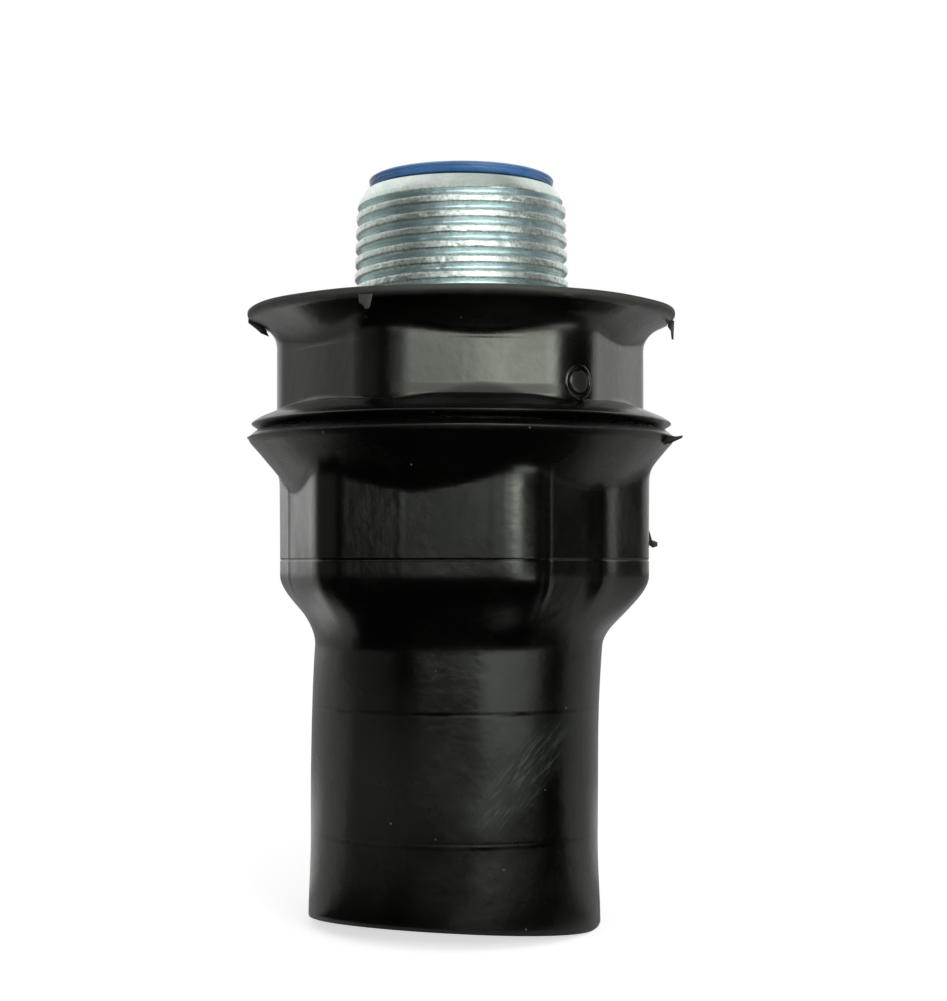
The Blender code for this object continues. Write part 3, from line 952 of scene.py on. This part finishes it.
# %% Throat
def make_throat():
    """Blue throat with a rolled rim."""
    top = top_of("insulated_throat")
    tube_end = foot_of("insulated_throat")
    rim = reach_of("insulated_throat")
    under = HUB_TOP + GAP
    tube = HUB_BORE - GAP
    bore = tube - 1.0 * MM
    outline = [
        (rim - 0.7 * MM, top),
        (rim, top - 0.35 * MM),
        (rim - 0.06 * MM, top - 0.65 * MM),
        (rim - 0.14 * MM, top - 0.75 * MM),
        (rim - 0.06 * MM, top - 0.85 * MM),
        (rim - 0.35 * MM, under),
        (tube, under),
        (tube, tube_end),
        (bore, tube_end),
        (bore, under - 0.6 * MM),
        (bore + 0.35 * MM, top - 0.5 * MM),
        (bore + 1.1 * MM, top),
    ]
    return turned("throat", outline, 192, 0.35 * MM)


finished("throat", make_throat(), BLUE_NYLON, "body", "insulated_throat", sharp=60)

# %% [markdown]
# ## Uneven plastic
#
# A moulded coat is never quite true. Its surface swells and sinks by a few hundredths of a
# millimetre, which bends every highlight. A sum of a few slow waves gives that, with a fixed seed so
# that it comes out the same each time.

# %% Uneven plastic
JACKET_STEPS = 440
WAVES = 7


def uneven(height, angles, size, seed):
    """Slow waves over a skin, between -size and size."""
    random = np.random.default_rng(seed)
    total = 0.0
    for _ in range(WAVES):
        around_part = random.integers(1, 9)
        along = random.uniform(-0.35, 0.35) / MM
        start = random.uniform(0, 2 * np.pi)
        total = total + np.sin(around_part * angles + along * height + start)
    return total * size / WAVES


def from_front(angles):
    """Direction in degrees from the front, positive to the right, between -180 and 180."""
    return (np.degrees(angles) + 90 + 180) % 360 - 180


def stack_heights(start, end, spacing, fine_places, reach=0.6 * MM, fine=0.07 * MM):
    """Heights of a skin's rings: evenly spaced, and closer together near fine detail."""
    heights = [*np.arange(start, end, spacing), end]
    for place in fine_places:
        heights += list(np.arange(place - reach, place + reach, fine))
    heights = sorted(height for height in heights if start <= height <= end)
    kept = [heights[0]]
    for height in heights[1:]:
        if height - kept[-1] > fine * 0.6:
            kept.append(height)
    return kept


def flare(base, apothem, share, end_radius, curve, fillet):
    """Hexagon that swells to a round lip as share goes from 0 to 1, softest past half way."""
    swell = apothem + (end_radius - apothem) * share**curve
    return soft_max(base, swell, 6.75 * fillet * share**2 * (1 - share) + MERGE_WITHIN)


def measured(mesh):
    """Direction from the front, distance from the axis and height of every point of a mesh."""
    points = np.empty(len(mesh.vertices) * 3)
    mesh.vertices.foreach_get("co", points)
    x, y, z = points.reshape(-1, 3).T
    return from_front(np.arctan2(y, x)), np.hypot(x, y), z


def wear(mesh, amounts):
    """Store how worn each point is, between 0 and 1, for the finish to read."""
    mesh.attributes.new("worn", "FLOAT", "POINT").data.foreach_set("value", amounts)


def ripple(angles, size, counts, seed):
    """Small waves round a rim, between 0 and size."""
    random = np.random.default_rng(seed)
    total = sum(np.sin(count * angles + random.uniform(0, 2 * np.pi)) for count in counts)
    return size * (total / len(counts) + 1) / 2


print("a jacket has", JACKET_STEPS, "points in each ring, and", WAVES, "waves over its skin")

# %% [markdown]
# ## Body jacket
#
# The coat over the body's hexagon ends in two round lips. Below, it leaves the flats as a short cone
# with a crease, which cuts the front flat in the shape of a lens. The radius formula is worked out
# for every ring and direction, so the crease, the flares and the waves add up in one place.

# %% Skin of the body jacket
WAIST_TOP = BODY_TOP - 5.0 * MM
TOP_RIM = BODY_TOP - 0.75 * MM
RIM_RISE = 0.2 * MM
TOP_CORNER = 0.2 * MM
RIM_WIDTH = 1.0 * MM
PLATE = 1.0 * MM
TOP_CURVE = 2.2
TOP_FILLET = 1.5 * MM
LOW_FILLET = 0.25 * MM
LOW_TIP = BODY_FACE + 0.66 * MM
LOW_RIM = BODY_FACE + 0.9 * MM
LOW_LIP = 26.15 * MM
LIP_ROUND = 0.25 * MM
LIP_SLOPE = 1.0 * MM
LENS_HEIGHTS = (0.9, 1.4, 2.3, 2.9, 4.3)
LENS_SWELLS = (4.95, 4.1, 1.7, 0.55, -0.05)
SIDE_HEIGHTS = (0.9, 1.4, 2.3, 2.8, 3.4)
SIDE_SWELLS = (4.95, 4.1, 1.95, 0.4, -0.3)
DULL_BAND = (2.7, 4.2)
DULL_EDGE = 0.4
LENS_WEAR = 0.45


def on_front(direction, half, fade):
    """1 on the front flat, falling to 0 at half the lens's width in degrees."""
    return soft_step((half - np.abs(direction - BODY_TURN)) / fade)


def low_flare(height, angles):
    """Radius of the low flare, which has a creased lens on the front flat and is tighter elsewhere."""
    above = (height - BODY_FACE) / MM
    lens = np.interp(above, LENS_HEIGHTS, LENS_SWELLS)
    side = np.interp(above, SIDE_HEIGHTS, SIDE_SWELLS)
    return BODY_FLAT + between((side, lens), on_front(from_front(angles), 32, 4)) * MM


def body_reach(height, angles):
    """Distance from the axis to the body jacket's skin, lips apart."""
    base = hexagon_reach(angles, BODY_FLAT, BODY_CORNER, BODY_TURN)
    base = base + uneven(height, angles, 0.05 * MM, 4) + crown(angles, BODY_TURN)
    if height > WAIST_TOP:
        share = (height - WAIST_TOP) / (TOP_RIM - WAIST_TOP)
        return flare(base, BODY_FLAT, min(share, 1.0), BODY_LIP - TOP_CORNER, TOP_CURVE, TOP_FILLET)
    return soft_max(base, low_flare(height, angles), LOW_FILLET)


print("body's flat is", round(BODY_FLAT / MM, 2), "mm from the axis")

# %% [markdown]
# ## Lips and hollow of the body jacket
#
# The lower lip has a blunt tip. The top rim is upright, slightly wavy and worn by handling, and its
# lower edge dips in places. Inside, the jacket follows the steel hexagon with a hair of room.

# %% Body jacket
def low_lip(angles):
    """Rings of the lower lip: its underside slopes up to a blunt tip."""
    outline = [(LOW_LIP - LIP_SLOPE, BODY_FACE), (LOW_LIP, LOW_TIP), (LOW_LIP - LIP_ROUND, LOW_RIM)]
    return rim_rings(angles, outline, LIP_ROUND)


def top_lip(angles, hole):
    """Rings of the upright top rim and of the flat face inside it, both slightly wavy."""
    outline = [
        (BODY_LIP - TOP_CORNER, TOP_RIM),
        (BODY_LIP, TOP_RIM + TOP_CORNER),
        (BODY_LIP, BODY_TOP),
        (BODY_LIP - RIM_WIDTH, BODY_TOP),
    ]
    rings = rim_rings(angles, outline, TOP_CORNER)
    wave = RIM_RISE + ripple(angles, 0.14 * MM, (3, 5, 11), 2)
    for points in rings:
        points[:, 2] += wave
    notches = np.maximum(ripple(angles, 1.0, (13, 29, 47), 6) - 0.6, 0.0)
    rings[0][:, 2] -= 0.5 * MM * notches
    for share in (0.75, 0.5, 0.25):
        radius = hole + (BODY_LIP - RIM_WIDTH - hole) * share
        rings.append(ring(angles, radius, BODY_TOP + wave * share))
    return rings


def body_wear(mesh):
    """Wear of the body jacket: its upright rim, and the dull lens on the front flat."""
    direction, reach, height = measured(mesh)
    upright = soft_step((reach - BODY_LIP + 0.35 * MM) / (0.25 * MM))
    rim = upright * soft_step((height - TOP_RIM + 0.1 * MM) / (0.2 * MM))
    above = (height - BODY_FACE) / MM
    foot, top = DULL_BAND
    band = soft_step((above - foot) / DULL_EDGE) * soft_step((top - above) / DULL_EDGE)
    outside = reach > BODY_STEEL + COAT
    return rim + LENS_WEAR * band * on_front(direction, 27, 8) * outside


def make_body_jacket():
    """Skin, lips, plate and hollow of the body jacket."""
    angles = directions(JACKET_STEPS)
    creases = [BODY_FACE + LENS_HEIGHTS[index] * MM for index in (3, 4)]
    heights = stack_heights(LOW_RIM, TOP_RIM, 0.16 * MM, creases)
    cavity = hexagon_reach(angles, BODY_STEEL + GAP, STEEL_CORNER + GAP, BODY_TURN)
    hole = HUB_RADIUS + 0.05 * MM
    plate = BODY_TOP - PLATE
    rings = low_lip(angles)
    rings += [ring(angles, body_reach(height, angles), height) for height in heights[1:-1]]
    rings += top_lip(angles, hole)
    rings += stack(angles, [(hole, BODY_TOP), (hole, plate), (cavity, plate), (cavity, BODY_FACE)])
    mesh = ring_skin("body jacket", rings)
    wear(mesh, body_wear(mesh))
    return mesh


finished("body_coat", make_body_jacket(), BLACK_PVC, "body", "body_jacket", sharp=30)

# %% [markdown]
# ## Gate mark
#
# A round mark on the body's right corner shows where the mould's pin stood: a flat disc inside a
# raised ring. It is a small patch of its own, wrapped over the corner by the same radius formula.

# %% Gate mark
def sealed(mesh):
    """Merge doubled points, so that poles close, and turn every face outwards."""
    shape = bmesh.new()
    shape.from_mesh(mesh)
    bmesh.ops.remove_doubles(shape, verts=shape.verts, dist=0.001 * MM)
    bmesh.ops.recalc_face_normals(shape, faces=shape.faces)
    shape.to_mesh(mesh)
    shape.free()
    return mesh


GATE_DIRECTION = 36.4
GATE_HEIGHT = 65.6 * MM
GATE_REACH = 23.0 * MM
GATE_DISC = 1.3
GATE_PROFILE = (
    (0.0, 0.10), (0.7, 0.11), (1.18, 0.11), (1.30, 0.07), (1.38, -0.02), (1.52, -0.03), (1.64, 0.07),
    (1.75, 0.14), (1.86, 0.13), (2.02, 0.03), (2.18, -0.12),
)


def make_gate_mark():
    """Disc and ring, closed underneath inside the jacket's wall."""
    spokes = directions(72)
    centre_angle = radians(GATE_DIRECTION - 90)
    profile = list(GATE_PROFILE)[::-1] + [(0.0, -0.4), (GATE_PROFILE[-1][0], -0.4)]
    rings = []
    for out, rise in profile:
        points = []
        for spoke in spokes:
            height = GATE_HEIGHT + out * MM * sin(spoke)
            angle = centre_angle + out * MM * cos(spoke) / GATE_REACH
            radius = body_reach(height, np.array([angle]))[0] + rise * MM
            points.append((cos(angle) * radius, sin(angle) * radius, height))
        rings.append(np.array(points))
    mesh = ring_skin("gate mark", rings)
    wear(mesh, np.repeat([0.3 if out < GATE_DISC else 0.0 for out, rise in profile], len(spokes)))
    return sealed(mesh)


finished("gate_mark", make_gate_mark(), BLACK_PVC, "body", None, sharp=50)

# %% [markdown]
# ## Nut jacket
#
# This is the longest piece: a round sleeve, a shoulder that swells into the hexagon, and a lip. The
# mould left a line round the flats, two faint lines round the sleeve, and soft upright ribs. All of
# that is written as one distance from the axis, for any height and direction.

# %% Skin of the nut jacket
SLEEVE_RADIUS = 17.9 * MM
SLEEVE_BORE = 15.2 * MM
SLEEVE_SWELL = 0.3 * MM
SWELL_LENGTH = 11.0 * MM
SLEEVE_LENGTH = 34.5 * MM
SHOULDER_TOP = 43.2 * MM
NUT_FLARE_FOOT = 53.2 * MM
NUT_RIM = NUT_FACE - 1.4 * MM
NUT_FIN = NUT_FACE - 0.78 * MM
NUT_CURVE = 1.2
NUT_FILLET = 0.9 * MM
NUT_CHAMFER = 0.4 * MM
LIP_ROOT = NUT_LIP - 0.45 * MM
SLEEVE_LEAN = -0.85 * MM
LEAN_POWER = 5
MOULD_LINE = (45.1 * MM, 0.09 * MM, 0.10 * MM)
GROOVES = (MOULD_LINE, *((line, 0.012 * MM, 0.2 * MM) for line in SLEEVE_LINES))
JACKET_COLLAR = 16.7 * MM
CUT_DEPTH = 2.1 * MM
CUT_DIRECTION = -22.0
CUT_FADE = 16.0 * MM
CUT_CURVE = 1.2
RIB_FOOT, RIB_FADE_IN = 38.0 * MM, 5.0 * MM
RIB_TOP, RIB_FADE_OUT = 55.0 * MM, 3.0 * MM
RIBS = (
    (-81.6, 0.7, 0.7, 0.14), (-44.8, 0.9, 0.8, 0.16), (-19.0, 0.4, 0.4, 0.02), (9.2, 0.4, 0.4, 0.02),
    (26.3, 0.35, 0.35, 0.12), (50.8, 1.5, 2.3, 0.38), (115.8, 1.5, 2.3, 0.2), (175.8, 0.7, 0.7, 0.14),
)


def lean_at(height):
    """Sideways shift of the sleeve, which leans a little below the steel nut."""
    share = min(height / (NUT_FOOT - GAP), 1.0)
    return SLEEVE_LEAN * (1 - share**LEAN_POWER)


def nut_ribs(height, angles):
    """Soft upright ribs that the mould left: direction, width to the left and right, and rise."""
    fade_in = soft_step((height - RIB_FOOT) / RIB_FADE_IN)
    fade_out = soft_step((height - RIB_TOP) / RIB_FADE_OUT)
    total = 0.0
    for direction, left, right, rise in RIBS:
        aside = np.radians(from_front(angles) - direction) * NUT_FLAT
        total = total + rise * MM * bell(aside, np.where(aside < 0, left, right) * MM)
    return total * fade_in * (1 - fade_out)


def nut_reach(height, angles):
    """Distance from the axis to the nut jacket's skin, lip apart."""
    swell = SLEEVE_SWELL * (1 - soft_step(height / SWELL_LENGTH))
    hexagon = hexagon_reach(angles, NUT_FLAT, NUT_CORNER, NUT_TURN)
    share = soft_step((height - SLEEVE_LENGTH) / (SHOULDER_TOP - SLEEVE_LENGTH))
    base = (SLEEVE_RADIUS + swell) * (1 - share) + hexagon * share
    base = base + uneven(height, angles, 0.06 * MM, 11) + nut_ribs(height, angles)
    base = base + crown(angles, NUT_TURN) * share
    for line, depth, width in GROOVES:
        base = base - depth * bell(height - line, width)
    if height > NUT_FLARE_FOOT:
        share = (height - NUT_FLARE_FOOT) / (NUT_RIM - NUT_FLARE_FOOT)
        return flare(base, NUT_FLAT, min(share, 1.0), LIP_ROOT, NUT_CURVE, NUT_FILLET)
    return base


print("sleeve's wall is", round((SLEEVE_RADIUS - SLEEVE_BORE) / MM, 2), "mm thick")

# %% [markdown]
# ## Lip, cut and hollow of the nut jacket
#
# The lip ends in a thin wavy fin of flash. The sleeve's end was cut by hand, so its near edge is a
# little short. Inside, the jacket follows the steel nut down to its collar, and then the conduit.

# %% Nut jacket
def nut_lip(angles):
    """Rings of the nut's lip: a thin wavy fin of flash at its tip, and a top that slopes inwards."""
    fin = ripple(angles, 0.14 * MM, (4, 9, 23, 41), 8) - 0.14 * MM
    sway = ripple(angles, 0.08 * MM, (3, 8), 9)
    outline = [
        (-0.18 * MM, -0.20 * MM),
        (-0.15 * MM, -0.09 * MM),
        (fin, -0.05 * MM),
        (fin, 0.02 * MM),
        (-0.18 * MM, 0.07 * MM),
        (-0.30 * MM, 0.16 * MM),
    ]
    tip = [(NUT_LIP + out, NUT_FIN + up + sway) for out, up in outline]
    return stack(angles, [(LIP_ROOT, NUT_RIM), *tip, (NUT_LIP - LIP_SLOPE, NUT_FACE)])


def cut_lift(height, angles):
    """How far the hand cut lifts a ring's points, most at the sleeve's end."""
    facing = np.maximum(np.cos(np.radians(from_front(angles) - CUT_DIRECTION)), 0) ** CUT_CURVE
    return CUT_DEPTH * facing * max(1 - height / CUT_FADE, 0.0)


def make_nut_jacket():
    """Skin, lip, hollow and bore of the nut jacket."""
    angles = directions(JACKET_STEPS)

    def lifted(radius, height):
        return ring(angles, radius, height + cut_lift(height, angles), lean_at(height))

    edge = 0.35 * MM
    heights = stack_heights(edge, NUT_RIM, 0.55 * MM, [line for line, depth, width in GROOVES])
    end = nut_reach(0.0, angles)
    rings = [lifted(end - edge, 0.0), lifted(end - edge * 0.3, edge * 0.3)]
    rings += [lifted(nut_reach(height, angles), height) for height in heights[:-1]]
    rings += nut_lip(angles)
    cavity = hexagon_reach(angles, NUT_STEEL + GAP, STEEL_CORNER + GAP, NUT_TURN)
    rings.append(ring(angles, cavity, NUT_FACE))
    for share in (1.0, 0.8, 0.6, 0.4, 0.2, 0.0):
        height = between((NUT_FOOT + NUT_CHAMFER, SHOULDER_TOP), share)
        rings.append(ring(angles, between((JACKET_COLLAR, cavity), soft_step(share)), height))
    rings.append(ring(angles, JACKET_COLLAR, NUT_FOOT - GAP))
    rings += [lifted(SLEEVE_BORE, height) for height in np.linspace(NUT_FOOT - GAP, edge, 24)]
    rings.append(lifted(SLEEVE_BORE + edge * 0.5, 0.0))
    mesh = ring_skin("nut jacket", rings)
    direction, reach, height = measured(mesh)
    wear(mesh, 0.5 * bell(height - NUT_FIN, 0.12 * MM) * (reach > NUT_LIP - 0.25 * MM))
    return mesh


finished("nut_coat", make_nut_jacket(), BLACK_PVC, "gland_nut", "nut_jacket", sharp=30)

# %% [markdown]
# ## Flash
#
# Trimming the moulded coats left a few thin flakes: a spike and a strip under the body's rim, a burr
# on it, a blade on the nut's lip and a hook on its side. Each one is a small outline, thick in its
# middle and sharp at its edge. The outline lies either across the rim or along it.

# %% Flash
FLAKE_THICKNESS = 0.35 * MM
FLAKES = {
    "rim_spike": (
        (26.0, 75.0), (26.55, 74.9), (26.5, 73.7), (26.45, 72.5), (26.2, 72.6), (26.1, 73.6), (25.7, 74.2),
    ),
    "rim_strip": (
        (26.5, 75.0), (26.5, 74.5), (25.7, 73.9), (24.9, 73.2), (23.9, 72.8), (24.3, 73.7), (25.2, 74.6),
    ),
    "rim_burr": (
        (-0.9, 74.9), (0.9, 74.9), (0.75, 74.1), (0.5, 73.3), (0.0, 73.2), (-0.35, 73.7), (-0.8, 73.9),
    ),
    "lip_blade": (
        (26.0, 58.9), (26.9, 59.1), (28.3, 59.7), (28.4, 60.0), (27.6, 59.9), (26.6, 60.0), (25.8, 59.8),
    ),
    "side_hook": (
        (23.2, 49.3), (23.5, 48.4), (23.7, 47.5), (24.4, 47.3), (24.4, 46.8), (23.8, 46.6), (23.0, 47.2),
    ),
}


def make_flake(name, direction, radius):
    """Flake in the plane of the axis, or along the rim if its radius is given."""
    outwards = from_axis(direction, 1.0, 0.0)
    along = from_axis(direction + 90, 1.0, 0.0)
    across, thick = (outwards, along) if radius is None else (along, outwards)
    base = outwards * (radius or 0.0)
    edge = [base + across * reach * MM + Vector((0, 0, height * MM)) for reach, height in FLAKES[name]]
    middle = sum(edge, Vector()) / len(edge)
    rings = []
    for share, side in ((0.0, -0.5), (0.6, -0.5), (1.0, 0.0), (0.6, 0.5), (0.0, 0.5)):
        shift = thick * FLAKE_THICKNESS * side
        rings.append(np.array([middle.lerp(corner, share) + shift for corner in edge]))
    mesh = sealed(ring_skin(name, rings, closed=False))
    wear(mesh, np.full(len(mesh.vertices), 0.5 if radius is None else 1.0))
    return mesh


for name, body, direction, radius in (
    ("rim_spike", "body", 88.0, None),
    ("rim_strip", "body", -86.0, None),
    ("rim_burr", "body", -24.0, BODY_LIP - 0.15 * MM),
    ("lip_blade", "gland_nut", 69.0, None),
    ("side_hook", "gland_nut", 84.0, None),
):
    finished(name, make_flake(name, direction, radius), BLACK_PVC, body, None)

# %% [markdown]
# ## Steel nut
#
# The steel nut hides in its jacket, and shows when it is screwed back. It is a stack of rings again,
# with its inner thread added by the same tree, turned inside out. Its seat is a cone that rises as
# much as it widens, so its heights follow from its radii.

# %% Steel nut
NUT_BORE = 17.1 * MM
NUT_MOUTH = 13.75 * MM
SEAT_TIP = 30.75 * MM
NUT_SEAT_FOOT = SEAT_TIP + NUT_MOUTH
NUT_SEAT_TOP = SEAT_TIP + NUT_BORE
NUT_COLLAR = 16.4 * MM
NUT_STEPS = 224
NUT_THREAD = {
    "Pitch": GLAND_PITCH,
    "Depth": 0.8 * MM,
    "Radius": NUT_BORE,
    "Foot": NUT_SEAT_TOP + 0.6 * MM,
    "Top": NUT_TOP - 0.8 * MM,
    "Foot run-out": 1.0 * MM,
    "Top run-out": 0.8 * MM,
    "Nose length": 1.0 * MM,
    "Columns": NUT_STEPS,
    "Rows a turn": 10,
    "Inside": True,
}


def make_steel_nut():
    """Steel gland nut with its seat, its shoulder and the inner thread, which cuts outwards."""
    angles = directions(NUT_STEPS)
    hexagon = hexagon_reach(angles, NUT_STEEL, STEEL_CORNER, NUT_TURN)
    outline = [
        (NUT_BORE, NUT_THREAD["Foot"]),
        (NUT_BORE, NUT_SEAT_TOP),
        (NUT_MOUTH, NUT_SEAT_FOOT),
        (NUT_MOUTH, NUT_FOOT + NUT_CHAMFER),
        (NUT_MOUTH + NUT_CHAMFER, NUT_FOOT),
        (NUT_COLLAR - NUT_CHAMFER, NUT_FOOT),
    ]
    for index in range(9):
        share = index / 8
        height = between((NUT_FOOT + NUT_CHAMFER, SHOULDER_TOP), share)
        outline.append((between((NUT_COLLAR, hexagon), soft_step(share)), height))
    outline += [
        (hexagon, NUT_TOP - NUT_CHAMFER),
        (hexagon - NUT_CHAMFER, NUT_TOP),
        (NUT_BORE + 0.6 * MM, NUT_TOP),
        (NUT_BORE, NUT_TOP - 0.6 * MM),
        (NUT_BORE, NUT_THREAD["Top"]),
    ]
    return threaded(ring_skin("steel nut", stack(angles, outline), closed=False), [NUT_THREAD])


finished("steel_nut", make_steel_nut(), ZINC, "gland_nut", "gland_nut")

# %% [markdown]
# ## Ferrule and sealing ring
#
# Both hide inside and are turned outlines. The ferrule takes the conduit's end between its skirt and
# its ridged tube, and the nut squeezes the ring onto the conduit by the bevels.

# %% Ferrule and sealing ring
def make_ferrule():
    """Ferrule: a flange with a skirt outside the conduit's end and a ridged tube inside it."""
    low, top = foot_of("ferrule"), top_of("ferrule")
    skirt = reach_of("ferrule")
    skirt_end = top_of("sealing_ring") + GAP
    tube, bore, ridge, pitch = 10.3 * MM, 9.1 * MM, 0.4 * MM, 2.4 * MM
    flange = top - 1.2 * MM
    wall = 0.6 * MM
    outline = [
        (skirt, top),
        (skirt, skirt_end),
        (skirt - wall, skirt_end),
        (skirt - wall, flange),
        (tube - ridge, flange),
    ]
    for index in (3, 2, 1, 0):
        foot = low + index * pitch
        outline += [(tube - ridge, foot + pitch), (tube, foot + pitch - ridge)]
    outline += [(tube - ridge, low), (bore, low), (bore, top)]
    return turned("ferrule", outline, 160, 0.2 * MM)


def make_sealing_ring():
    """Nylon ring with a bevel at each end and softened edges."""
    low, top = foot_of("sealing_ring"), top_of("sealing_ring")
    outer, bore = reach_of("sealing_ring"), 13.5 * MM
    nose = bore + 0.3 * MM
    bevel = outer - nose
    outline = [
        (nose, top), (outer, top - bevel), (outer, low + bevel), (nose, low), (bore, low), (bore, top),
    ]
    return turned("sealing ring", outline, 192, 0.3 * MM)


finished("ridged_ferrule", make_ferrule(), FERRULE_STEEL, "seal_stack", "ferrule")
finished("nylon_ring", make_sealing_ring(), NATURAL_NYLON, "seal_stack", "sealing_ring")
